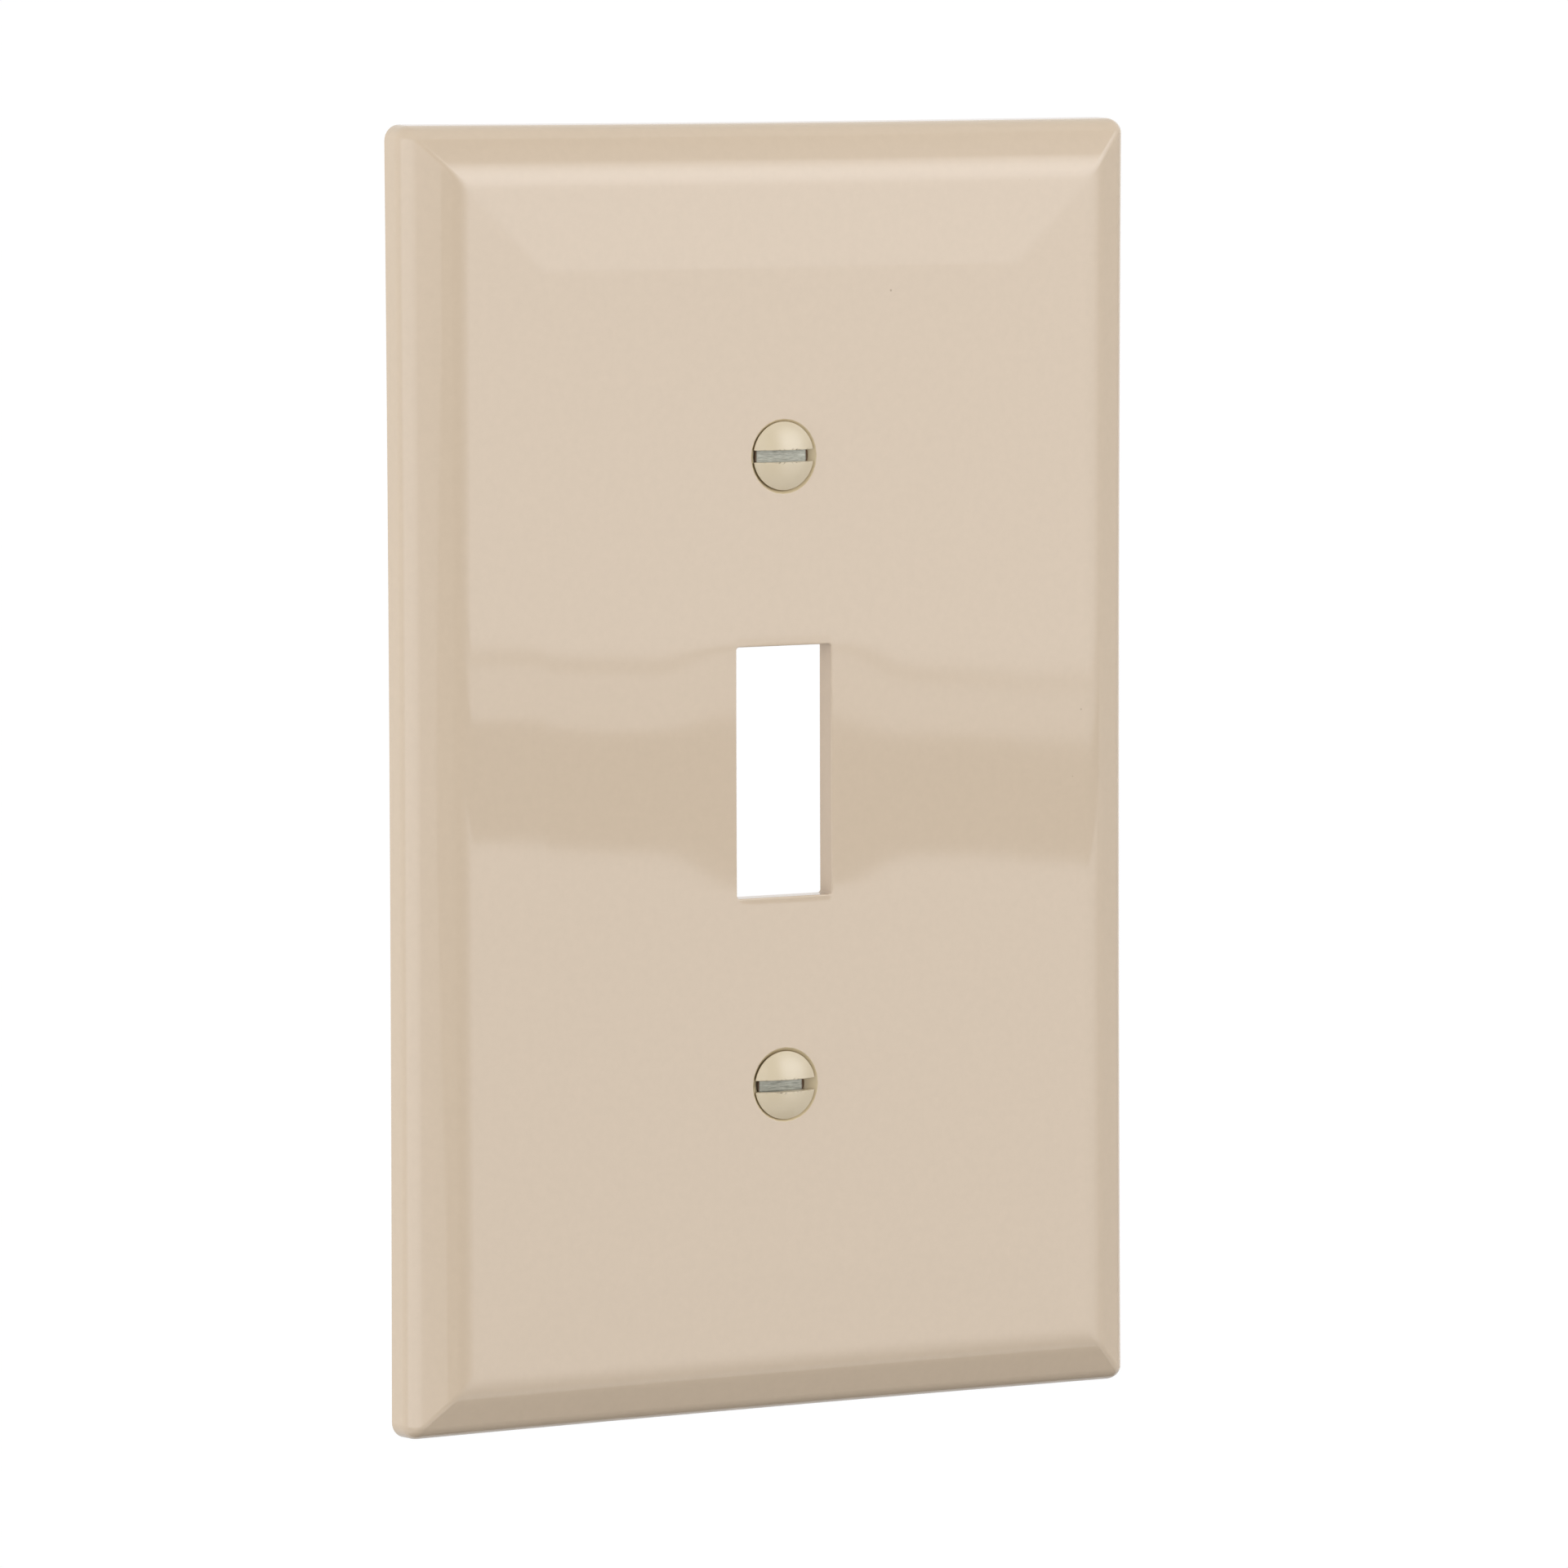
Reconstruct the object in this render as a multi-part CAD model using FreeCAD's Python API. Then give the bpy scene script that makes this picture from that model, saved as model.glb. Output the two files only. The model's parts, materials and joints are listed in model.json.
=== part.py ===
"""One-gang wall plate for a toggle switch, with its two screws.

Millimetres, +Z up as installed. The origin lies in the wall plane, midway between the two screws and
behind the centre of the toggle opening. The plate faces -Y, and the screws' free ends point along +Y.

Outlines are drawn in two coordinates: the distance inwards from the plate's outer edge, called in,
and the height in front of the wall plane, called up. Height up is at Y = -up.
"""

import FreeCAD, Part
import math
import os

Vector = FreeCAD.Vector

# ---- Wall plate: outer form -------------------------------------------------------------------
plate_width = 79.5
plate_height = 123.95
plate_depth = 5.7  # wall plane to the flat of the face
corner_radius = 1.55  # of the outline seen from the front
flank_draft_deg = 2.5  # lean of the side walls
shoulder_radius = 2.4  # side wall into bevel
bevel_angle_deg = 27.0
bevel_run = 4.65  # outer edge to the line where the bevel meets the border
crest_radius = 5.5  # bevel into border
border_run = 13.8  # outer edge to the line where the border meets the flat
border_angle_deg = 1.2

# ---- Wall plate: hollow back ------------------------------------------------------------------
rim_width = 2.0  # the rim that rests on the wall
face_wall = 2.3  # thickness behind the flat
bevel_wall = 2.1  # thickness behind the bevel, square to it
hollow_draft_deg = 2.0
hollow_corner_radius = 1.0
hollow_radius = 0.8  # side wall into slope, and slope into ceiling
rib_thickness = 1.2
rib_spacing = 50.0  # between the two upright ribs, outside the switch's yoke
rib_gap_at_wall = 1.0  # the ribs stop this far in front of the wall plane
rib_end_gap = 1.6  # between a rib's end and the hollow's sloping wall
boss_radius = 4.6
boss_gap_at_wall = 1.5  # room for the switch's yoke behind each screw boss

# ---- Toggle opening ---------------------------------------------------------------------------
toggle_width = 10.4
toggle_height = 24.1
toggle_corner_radius = 0.5
toggle_lip_radius = 0.25  # rounding where the opening breaks the face

# ---- Screws: 6-32 oval head, slotted ----------------------------------------------------------
screw_spacing = 60.325
thread_major_radius = 1.7425
thread_pitch = 25.4 / 32
thread_angle_deg = 60.0
thread_depth_share = 5 / 8  # crest to root, of the sharp thread's height
pitch_line_share = 3 / 8  # crest to pitch line, of the sharp thread's height
head_radius = 3.32
head_angle_deg = 82.0  # full angle of the countersunk side
head_land = 0.13  # upright band between the cone and the dome
dome_height = 0.95
screw_length = 12.7  # from the top of the cone to the tip
tip_chamfer = 0.4
slot_width = 1.14
slot_depths = {"upper_screw": 1.5, "lower_screw": 1.9}  # from the top of the dome

# ---- Fits -------------------------------------------------------------------------------------
shank_clearance = 0.23  # radial, thread crest to the hole in the plate
seat_clearance = 0.05  # square to the axis, head cone to countersink
head_ring_gap = 0.27  # radial, head to the mouth of the countersink
thread_start_gap = 0.3  # behind the boss, where the thread begins
overshoot = 1.0  # how far a cutting block runs past what it cuts
tolerance = 1e-6

# ---- Derived places ---------------------------------------------------------------------------
bevel_slope = math.tan(math.radians(bevel_angle_deg))
crest_up = plate_depth - (border_run - bevel_run) * math.tan(math.radians(border_angle_deg))
flank_lean = math.tan(math.radians(flank_draft_deg))
shoulder_up = (crest_up - bevel_run * bevel_slope) / (1 - flank_lean * bevel_slope)
ceiling_up = plate_depth - face_wall
boss_top_up = ceiling_up + face_wall / 2  # inside the face wall, so that a boss joins it

head_slope = math.tan(math.radians(head_angle_deg / 2))
hole_radius = thread_major_radius + shank_clearance
mouth_radius = head_radius + head_ring_gap
cone_top_up = plate_depth - (head_ring_gap - seat_clearance) / head_slope
dome_top_up = cone_top_up + head_land + dome_height
tip_up = cone_top_up - screw_length
thread_top_up = boss_gap_at_wall - thread_start_gap
sharp_thread_height = thread_pitch / 2 / math.tan(math.radians(thread_angle_deg / 2))
thread_depth = sharp_thread_height * thread_depth_share
thread_root_radius = thread_major_radius - thread_depth
neck_radius = thread_major_radius - sharp_thread_height * pitch_line_share  # the unthreaded blank
screw_heights = {"upper_screw": screw_spacing / 2, "lower_screw": -screw_spacing / 2}


def corner_arc(last, point, following, radius):
    """Start, middle and end of the arc that rounds a corner between two neighbours."""
    to_last = (last - point).normalize()
    to_next = (following - point).normalize()
    half_angle = to_last.getAngle(to_next) / 2
    reach = radius / math.tan(half_angle)
    centre = point + (to_last + to_next).normalize() * (radius / math.sin(half_angle))
    middle = centre + (point - centre).normalize() * radius
    return point + to_last * reach, middle, point + to_next * reach


def rounded_wire(corners):
    """A closed wire through (point, radius) corners, with an arc in each corner that has a radius."""
    spans = []
    count = len(corners)
    for i in range(count):
        point, radius = corners[i]
        if radius == 0:
            spans.append((point, None, point))
            continue
        spans.append(corner_arc(corners[i - 1][0], point, corners[(i + 1) % count][0], radius))
    edges = []
    for i in range(count):
        start, middle, end = spans[i]
        if middle is not None:
            edges.append(Part.Arc(start, middle, end).toShape())
        edges.append(Part.LineSegment(end, spans[(i + 1) % count][0]).toShape())
    return Part.Wire(edges)


def half_outline(corners):
    """Mirror a left half outline of (in, up, radius) corners, as (offset, up, radius) either side."""
    left = [(-1, distance, up, radius) for distance, up, radius in corners]
    right = [(1, distance, up, radius) for distance, up, radius in reversed(corners)]
    return left + right


def section_across(corners, width, along_x):
    """The face of a full section, across X or across Z, from its half outline."""
    points = []
    for side, distance, up, radius in half_outline(corners):
        offset = side * (width / 2 - distance)
        place = Vector(offset, -up, 0) if along_x else Vector(0, -up, offset)
        points.append((place, radius))
    return Part.Face(rounded_wire(points))


def extrude_both_ways(face, reach):
    return face.translated(reach * -0.5).extrude(reach)


def mitred_block(corners, turn_radius):
    """A block with the same outline on all four sides, mitred at its corners.

    Each corner is the outline turned round an axis at turn_radius, and the mitre starts at that axis.
    """
    across_x = section_across(corners, plate_width, True)
    across_z = section_across(corners, plate_height, False)
    block = extrude_both_ways(across_x, Vector(0, 0, plate_height)).common(
        extrude_both_ways(across_z, Vector(plate_width, 0, 0))
    )
    reach = plate_depth + overshoot
    axis_x = plate_width / 2 - turn_radius
    axis_z = plate_height / 2 - turn_radius
    outer_band = Part.makeBox(
        turn_radius, 2 * reach, 2 * overshoot, Vector(axis_x, -reach, -overshoot)
    )
    turned = across_x.common(outer_band).translated(Vector(0, 0, axis_z))
    quarter = turned.revolve(Vector(axis_x, 0, axis_z), Vector(0, -1, 0), 90)
    corner = Part.makeBox(turn_radius, 2 * reach, turn_radius, Vector(axis_x, -reach, axis_z))
    mirrors = [(1, 1), (-1, 1), (-1, -1), (1, -1)]
    for side_x, side_z in mirrors:
        block = block.cut(mirrored(corner, side_x, side_z))
    for side_x, side_z in mirrors:
        block = block.fuse(mirrored(quarter, side_x, side_z))
    return block.removeSplitter()


def mirrored(shape, side_x, side_z):
    """A copy of a shape, mirrored across the YZ plane and the XY plane where a side is -1."""
    result = shape.copy()
    if side_x < 0:
        result = result.mirror(Vector(0, 0, 0), Vector(1, 0, 0))
    if side_z < 0:
        result = result.mirror(Vector(0, 0, 0), Vector(0, 0, 1))
    return result


def outer_form():
    corners = [
        (0, 0, 0),
        (shoulder_up * flank_lean, shoulder_up, shoulder_radius),
        (bevel_run, crest_up, crest_radius),
        (border_run, plate_depth, 0),
    ]
    return mitred_block(corners, corner_radius)


def hollow_form():
    """The hollow behind the face, drawn past the wall plane so that it cuts cleanly."""
    lean = math.tan(math.radians(hollow_draft_deg))
    drop = bevel_wall / math.cos(math.radians(bevel_angle_deg))
    inner_crest_up = crest_up - drop
    knee_up = (inner_crest_up - (bevel_run - rim_width) * bevel_slope) / (1 - lean * bevel_slope)
    ceiling_in = bevel_run + (ceiling_up - inner_crest_up) / bevel_slope
    corners = [
        (rim_width - overshoot * lean, -overshoot, 0),
        (rim_width + knee_up * lean, knee_up, hollow_radius),
        (ceiling_in, ceiling_up, hollow_radius),
    ]
    return mitred_block(corners, rim_width + hollow_corner_radius), ceiling_in


def upright_cylinder(radius, low_up, high_up, at_z):
    """A cylinder square to the face, between two heights in front of the wall plane."""
    return Part.makeCylinder(radius, high_up - low_up, Vector(0, -low_up, at_z), Vector(0, -1, 0))


def toggle_opening():
    reach = plate_depth + overshoot
    block = Part.makeBox(
        toggle_width, reach, toggle_height, Vector(-toggle_width / 2, -reach, -toggle_height / 2)
    )
    uprights = [edge for edge in block.Edges if edge.BoundBox.YLength > plate_depth]
    return block.makeFillet(toggle_corner_radius, uprights)


def make_boss(at_z):
    return upright_cylinder(boss_radius, boss_gap_at_wall, boss_top_up, at_z)


def make_rib(side, ceiling_in):
    height = plate_height - 2 * (ceiling_in + rib_end_gap)
    base = Vector(side * rib_spacing / 2 - rib_thickness / 2, -ceiling_up, -height / 2)
    return Part.makeBox(rib_thickness, ceiling_up - rib_gap_at_wall, height, base)


def round_toggle_lip(plate):
    lip = []
    for edge in plate.Edges:
        box = edge.BoundBox
        on_face = max(abs(box.YMin + plate_depth), abs(box.YMax + plate_depth)) < tolerance
        near_x = max(abs(box.XMin), abs(box.XMax)) < toggle_width / 2 + tolerance
        near_z = max(abs(box.ZMin), abs(box.ZMax)) < toggle_height / 2 + tolerance
        if on_face and near_x and near_z:
            lip.append(edge)
    return plate.makeFillet(toggle_lip_radius, lip)


def make_wall_plate():
    hollow, ceiling_in = hollow_form()
    plate = outer_form().cut(hollow)
    for side in (-1, 1):
        plate = plate.fuse(make_rib(side, ceiling_in))
    for at_z in screw_heights.values():
        plate = plate.fuse(make_boss(at_z))
    for at_z in screw_heights.values():
        plate = plate.cut(upright_cylinder(hole_radius, -overshoot, plate_depth + overshoot, at_z))
        cone_depth = (mouth_radius - hole_radius) / head_slope
        cone = Part.makeCone(
            mouth_radius, hole_radius, cone_depth, Vector(0, -plate_depth, at_z), Vector(0, 1, 0)
        )
        plate = plate.cut(cone)
    plate = plate.cut(toggle_opening())
    return round_toggle_lip(plate.removeSplitter())


def thread_groove():
    """A groove of the thread's form, along a helix round Z that runs off both ends of the thread."""
    past_crest = 0.1
    root_flat = thread_pitch / 4
    half_root = root_flat / 2
    half_mouth = half_root + (thread_depth + past_crest) * math.tan(math.radians(thread_angle_deg / 2))
    groove_mouth_radius = thread_major_radius + past_crest
    lead_in = thread_pitch / 2
    run_out = thread_pitch
    start = -thread_top_up - lead_in
    corners = [
        (Vector(thread_root_radius, 0, start - half_root), 0),
        (Vector(groove_mouth_radius, 0, start - half_mouth), 0),
        (Vector(groove_mouth_radius, 0, start + half_mouth), 0),
        (Vector(thread_root_radius, 0, start + half_root), 0),
    ]
    length = lead_in + thread_top_up - tip_up + run_out
    helix = Part.makeHelix(thread_pitch, length, thread_root_radius)
    helix.translate(Vector(0, 0, start))
    return Part.Wire(helix.Edges).makePipeShell([rounded_wire(corners)], True, True)


def make_screw(slot_depth):
    """One screw, turned round Z with its tip towards +Z, so that height up lies at Z = -up."""
    neck_up = cone_top_up - (head_radius - neck_radius) / head_slope
    rim_up = cone_top_up + head_land
    dome_radius = (head_radius**2 + dome_height**2) / (2 * dome_height)
    dome_centre_up = dome_top_up - dome_radius
    halfway = math.asin(head_radius / dome_radius) / 2
    rim = Vector(head_radius, 0, -rim_up)
    dome_middle = Vector(
        dome_radius * math.sin(halfway), 0, -dome_centre_up - dome_radius * math.cos(halfway)
    )
    crown = Vector(0, 0, -dome_top_up)
    outline = [
        rim,
        Vector(head_radius, 0, -cone_top_up),
        Vector(neck_radius, 0, -neck_up),
        Vector(neck_radius, 0, -thread_top_up),
        Vector(thread_major_radius, 0, -thread_top_up + thread_major_radius - neck_radius),
        Vector(thread_major_radius, 0, -tip_up - tip_chamfer),
        Vector(thread_major_radius - tip_chamfer, 0, -tip_up),
        Vector(0, 0, -tip_up),
        crown,
    ]
    edges = [Part.Arc(crown, dome_middle, rim).toShape()]
    for start, end in zip(outline, outline[1:]):
        edges.append(Part.LineSegment(start, end).toShape())
    turned = Part.Face(Part.Wire(edges)).revolve(Vector(0, 0, 0), Vector(0, 0, 1), 360)
    reach = head_radius + overshoot
    slot_base = Vector(-reach, -slot_width / 2, -dome_top_up - overshoot)
    slot = Part.makeBox(2 * reach, slot_width, slot_depth + overshoot, slot_base)
    return turned.cut(thread_groove()).cut(slot)


def place_screw(screw, at_z):
    """Lay a screw along Y, tip towards +Y, at its height on the plate."""
    placed = screw.copy()
    placed.rotate(Vector(0, 0, 0), Vector(1, 0, 0), -90)
    placed.translate(Vector(0, 0, at_z))
    return placed


def save(name, shape):
    if not shape.isValid() or len(shape.Solids) != 1:
        raise ValueError(name + " is not one valid solid")
    shape.Solids[0].exportStep("parts/" + name + ".step")
    box = shape.BoundBox
    size = (box.XLength, box.YLength, box.ZLength)
    print(name, "%.2f x %.2f x %.2f mm" % size, "volume %.1f mm3" % shape.Volume)


os.makedirs("parts", exist_ok=True)
save("wall_plate", make_wall_plate())
for screw_name, screw_z in screw_heights.items():
    save(screw_name, place_screw(make_screw(slot_depths[screw_name]), screw_z))
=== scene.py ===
"""Visual model of a one-gang toggle wall plate with its two slotted oval-head screws.

Metres, +Z up as installed. The plate faces -Y and its rim lies in the wall plane, Y = 0.
"""

import json
import math

import bmesh
import bpy
from bpy.props import FloatProperty, FloatVectorProperty, IntProperty, PointerProperty
from mathutils import Matrix, Vector


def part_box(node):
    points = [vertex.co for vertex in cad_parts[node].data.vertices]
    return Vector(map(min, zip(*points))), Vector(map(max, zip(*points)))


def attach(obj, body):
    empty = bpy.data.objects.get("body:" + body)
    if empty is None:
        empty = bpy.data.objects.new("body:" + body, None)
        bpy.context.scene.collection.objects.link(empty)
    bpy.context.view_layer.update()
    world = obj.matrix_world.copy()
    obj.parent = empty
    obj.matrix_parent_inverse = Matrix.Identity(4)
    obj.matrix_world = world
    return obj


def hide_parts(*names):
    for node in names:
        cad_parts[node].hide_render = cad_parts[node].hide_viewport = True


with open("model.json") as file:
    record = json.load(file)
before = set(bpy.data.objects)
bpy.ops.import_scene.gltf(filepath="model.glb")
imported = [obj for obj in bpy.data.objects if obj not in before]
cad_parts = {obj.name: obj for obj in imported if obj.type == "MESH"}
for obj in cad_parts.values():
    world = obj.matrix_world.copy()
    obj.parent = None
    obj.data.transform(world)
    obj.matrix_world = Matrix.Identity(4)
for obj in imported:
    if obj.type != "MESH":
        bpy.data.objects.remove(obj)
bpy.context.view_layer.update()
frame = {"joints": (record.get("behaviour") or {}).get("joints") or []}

bl_info = {
    "name": "Toggle Wall Plate",
    "version": (1, 0, 0),
    "blender": (4, 5, 0),
    "location": "View3D > Sidebar > Wall Plate",
    "description": "Builds a toggle-switch wall plate, its slotted screws and a studio round them",
    "category": "Add Mesh",
}

MM = 0.001
WELD = 1e-7
PLATE_LOW, PLATE_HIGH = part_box("wall_plate")
SCREW_NODES = {"screw_above": "upper_screw", "screw_below": "lower_screw"}
SCREW_HEIGHTS = {joint["child"]: joint["pos_m"][2] for joint in frame["joints"]}
HEAD_LOW, HEAD_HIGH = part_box("upper_screw")
CORNERS = [(-1, -1), (1, -1), (1, 1), (-1, 1)]

# Mesh detail
SHARP_DEGREES = 28
SCREW_SHARP_DEGREES = 30
FRONT_STEPS = 7
HOLLOW_STEPS = 4
CORNER_SEGMENTS = 8
DOME_STEPS = 10
OPENING_MARGIN = 2 * MM
ROUND_OFF = 0.01
NECK_GAP = 0.2 * MM
THREAD_WELD = 2e-6
THREAD_HALF_ANGLE = math.radians(30)
CREST_SHARE = 0.125

# Materials of the cover's faces, in the order of its slots; the seats' and the opening walls'
# materials are copies of the plastic with painted light and painted shade
SEAT_SLOT = 1
WALL_SLOT = 2
SEAT_FACING = -0.95

# What the screws' paint attribute says: painted, bare metal, or painted shade at the ends of a slot's
# floor
PAINTED = 1.0
BARE = 0.0
SHADED_FLOOR_END = -1.0

# The lights: their colour, how far off they stand, and the fall of the tall one's gaps across it
LIGHT_COLOUR = (0.935, 0.95, 1.0, 1.0)
LIGHT_DISTANCE = 1.2
GAP_LEAN = 0.016


def length(name, millimetres, description):
    return FloatProperty(
        name=name,
        description=description,
        default=millimetres * MM,
        unit="LENGTH",
        precision=5,
    )


def angle(name, degrees, description):
    return FloatProperty(
        name=name,
        description=description,
        default=math.radians(degrees),
        subtype="ANGLE",
        unit="ROTATION",
    )


def colour(name, value, description):
    return FloatVectorProperty(
        name=name,
        description=description,
        default=value,
        subtype="COLOR",
        size=3,
        min=0,
        max=1,
    )


def amount(name, value, description):
    return FloatProperty(name=name, description=description, default=value)


class CoverSizes(bpy.types.PropertyGroup):
    """Sizes of the moulded cover that the frame doesn't give."""

    corner_radius: length("Corner radius", 1.55, "Of the outline seen from the front")
    mitre_radius: length("Mitre radius", 0.45, "Softness of the mitres in the bevels")
    flank_draft: angle("Flank draft", 2.5, "Lean of the side walls")
    shoulder_radius: length("Shoulder radius", 2.4, "Side wall into bevel")
    bevel_angle: angle("Bevel angle", 27.0, "Slope of the bevel against the wall")
    bevel_run: length("Bevel run", 4.65, "Outer edge to where the bevel meets the border")
    crest_radius: length("Crest radius", 6.2, "Bevel into border")
    border_run: length("Border run", 13.8, "Outer edge to where the border meets the flat")
    border_angle: angle("Border angle", 1.2, "Slope of the border against the wall")
    border_blend: length("Border blend", 12.0, "Radius that joins the border to the flat")
    rim_width: length("Rim width", 2.0, "Width of the rim that rests on the wall")
    face_wall: length("Face wall", 2.3, "Thickness behind the flat")
    bevel_wall: length("Bevel wall", 2.1, "Thickness behind the bevel, square to it")
    hollow_draft: angle("Hollow draft", 2.0, "Lean of the hollow's side walls")
    hollow_corner: length("Hollow corner", 1.0, "Corner radius of the hollow at the rim")
    hollow_radius: length("Hollow radius", 0.8, "Rounding inside the hollow")
    rib_thickness: length("Rib thickness", 1.2, "Of the two upright ribs")
    rib_spacing: length("Rib spacing", 50.0, "Between the two upright ribs")
    rib_gap: length("Rib gap", 1.0, "From a rib's edge to the wall plane")
    rib_end_gap: length("Rib end gap", 1.6, "From a rib's end to the hollow's slope")
    boss_radius: length("Boss radius", 4.6, "Of the bosses behind the screws")
    boss_gap: length("Boss gap", 1.5, "From a boss to the wall plane")
    toggle_width: length("Toggle width", 10.4, "Width of the toggle opening")
    toggle_height: length("Toggle height", 24.1, "Height of the toggle opening")
    toggle_corner: length("Toggle corner", 0.3, "Corner radius of the toggle opening")
    toggle_lip: length("Toggle lip", 0.14, "Rounding where the opening breaks the face")
    patch_size: length("Screw patch", 10.4, "Side of the square of face round each screw")
    hole_radius: length("Hole radius", 1.9725, "Clearance hole of a screw")
    mouth_radius: length("Mouth radius", 3.59, "Countersink at the face")
    cone_angle: angle("Cone angle", 82.0, "Full angle of the countersink")
    edge_radius: length("Edge radius", 0.12, "Rounding left by the mould on sharp edges")
    cell: length("Cell", 2.6, "Spacing of the mesh across the face")
    side_bow: length("Side bow", 0.16, "How far the long sides pull in at mid-height")
    end_bow: length("End bow", 0.12, "How far the short sides pull in at mid-width")
    face_bow: length("Face bow", 0.2, "How far mid-height sits behind the two ends")
    sink_depth: length("Sink depth", 0.024, "Dip of the face along the toggle opening's long sides")
    sink_reach: length("Sink reach", 9.0, "How far from the opening the dip fades out")


class ScrewSizes(bpy.types.PropertyGroup):
    """Sizes of the slotted oval-head screws that the frame doesn't give."""

    head_land: length("Head land", 0.13, "Upright band between cone and dome")
    dome_height: length("Dome height", 0.95, "Rise of the oval head above its land")
    head_angle: angle("Head angle", 82.0, "Full angle of the countersunk side")
    neck_radius: length("Neck radius", 1.485, "Unthreaded blank under the head")
    major_radius: length("Major radius", 1.7425, "Crests of the thread")
    thread_depth: length("Thread depth", 0.43, "Crest to root")
    pitch: length("Pitch", 25.4 / 32, "From one thread to the next")
    thread_start: length("Thread start", 1.2, "Height in front of the wall plane")
    tip_chamfer: length("Tip chamfer", 0.4, "At the free end")
    slot_width: length("Slot width", 1.14, "Of the driver slot")
    slot_depth_above: length("Upper slot depth", 1.5, "From the top of the dome")
    slot_depth_below: length("Lower slot depth", 1.9, "From the top of the dome")
    slot_lip: length("Slot lip", 0.07, "Rounding that the paint leaves on the slot's edges")
    # How far the painted shade reaches in from the ends of a slot's floor
    shade_reach: length("Grime reach", 0.38, "From the ends of a slot's floor inwards")
    turn_steps: IntProperty(
        name="Turn steps", description="Facets round the head", default=96, min=24
    )
    thread_steps: IntProperty(
        name="Thread steps", description="Facets in one turn of the thread", default=36, min=12
    )


class Finishes(bpy.types.PropertyGroup):
    """Colours of the plastic, the paint and the bare screw metal, with painted light in the screw
    seats and painted shade on the opening's walls and at the ends of the slots' floors.
    """

    plastic: colour("Plastic", (0.588, 0.472, 0.344), "Light almond thermoplastic")
    # Painted light: a lighter, more saturated copy of the plastic, where light gathers in the screw
    # seats
    seat: colour("Screw seat", (0.62, 0.505, 0.31), "Plastic where light gathers round the screws")
    # Painted shade: a darker copy of the plastic for the walls of the toggle opening
    opening: colour("Opening walls", (0.53, 0.42, 0.31), "Plastic inside the toggle opening")
    plastic_speck: colour("Speck", (0.2, 0.13, 0.08), "Rare dark specks in the plastic")
    paint: colour("Paint", (0.64, 0.54, 0.375), "Ivory paint on the screw heads")
    zinc: colour("Zinc", (0.31, 0.305, 0.25), "Zinc plating on the screws")
    # Painted shade: near-black brown on the ends of the slots' floors, where the gap beside the
    # countersink lies in shadow
    painted_slot_shade: colour("Grime", (0.06, 0.032, 0.015), "Shade low in the slots")


class StudioSettings(bpy.types.PropertyGroup):
    """Camera and lights."""

    yaw: angle("Camera yaw", -29.634, "Turn of the camera round the plate")
    pitch: angle("Camera pitch", 4.841, "Height of the camera above level")
    roll: angle("Camera roll", -0.141, "Tilt of the camera")
    distance: length("Camera distance", 913.87, "From the wall plane's centre")
    shift_right: length("Camera to the right", 2.682, "Offset square to the view")
    shift_up: length("Camera up", -1.609, "Offset square to the view")
    lens: amount("Lens", 218.47, "Focal length in millimetres on a 36 mm sensor")
    floor_drop: length("Floor drop", 900.0, "From the plate's centre down to the floor")
    floor_radius: length("Floor radius", 4500.0, "Half the floor's width")
    sky: amount("Sky", 1.005, "Radiance of the white surround near the horizon")
    zenith: amount("Zenith", 0.85, "Radiance of the surround overhead")


# ---- Mesh helpers -----------------------------------------------------------------------------


def arc_points(before, corner, after, radius, steps):
    """Points of the arc that rounds a corner of an outline, or the corner itself without a radius."""
    if radius == 0:
        return [corner]
    to_before = (before - corner).normalized()
    to_after = (after - corner).normalized()
    half = math.acos(max(-1.0, min(1.0, to_before.dot(to_after)))) / 2
    centre = corner + (to_before + to_after).normalized() * (radius / math.sin(half))
    start = corner + to_before * (radius / math.tan(half)) - centre
    sweep = math.pi - 2 * half
    if start.x * to_after.y - start.y * to_after.x < 0:
        sweep = -sweep
    return [centre + Matrix.Rotation(sweep * i / steps, 2) @ start for i in range(steps + 1)]


def rounded_outline(corners, steps):
    """An open outline of (in, up) points from (in, up, radius) corners."""
    points = [Vector(corner[:2]) for corner in corners]
    outline = []
    for i, corner in enumerate(corners):
        before = points[max(i - 1, 0)]
        after = points[min(i + 1, len(points) - 1)]
        outline += arc_points(before, points[i], after, corner[2] * (0 < i < len(points) - 1), steps)
    return outline


def once(items):
    """The items without repeats, always in the same order, which a set would not keep."""
    return list(dict.fromkeys(items))


def verts_of(parts):
    return once(vert for part in parts for vert in part.verts)


def edges_of(faces):
    return once(edge for face in faces for edge in face.edges)


def extruded(mesh, edges):
    """Extrude a chain or loop of edges in place and return the new edges."""
    made = bmesh.ops.extrude_edge_only(mesh, edges=edges)["geom"]
    fresh = {item for item in made if isinstance(item, bmesh.types.BMVert)}
    return [
        item for item in made if isinstance(item, bmesh.types.BMEdge) and set(item.verts) <= fresh
    ]


def slice_all(mesh, place, direction):
    """Cut every face where a plane crosses it, keeping both sides."""
    everything = mesh.verts[:] + mesh.edges[:] + mesh.faces[:]
    bmesh.ops.bisect_plane(mesh, geom=everything, dist=WELD, plane_co=place, plane_no=direction)


def faces_within(mesh, low, high):
    """Faces whose middle lies between two corners of a box."""
    found = []
    for face in mesh.faces:
        middle = face.calc_center_median()
        if all(low[i] < middle[i] < high[i] for i in range(3)):
            found.append(face)
    return found


def open_edges(faces):
    """The edges round a patch of faces."""
    patch = set(faces)
    return [
        edge
        for edge in edges_of(faces)
        if len([face for face in edge.link_faces if face in patch]) == 1
    ]


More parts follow.
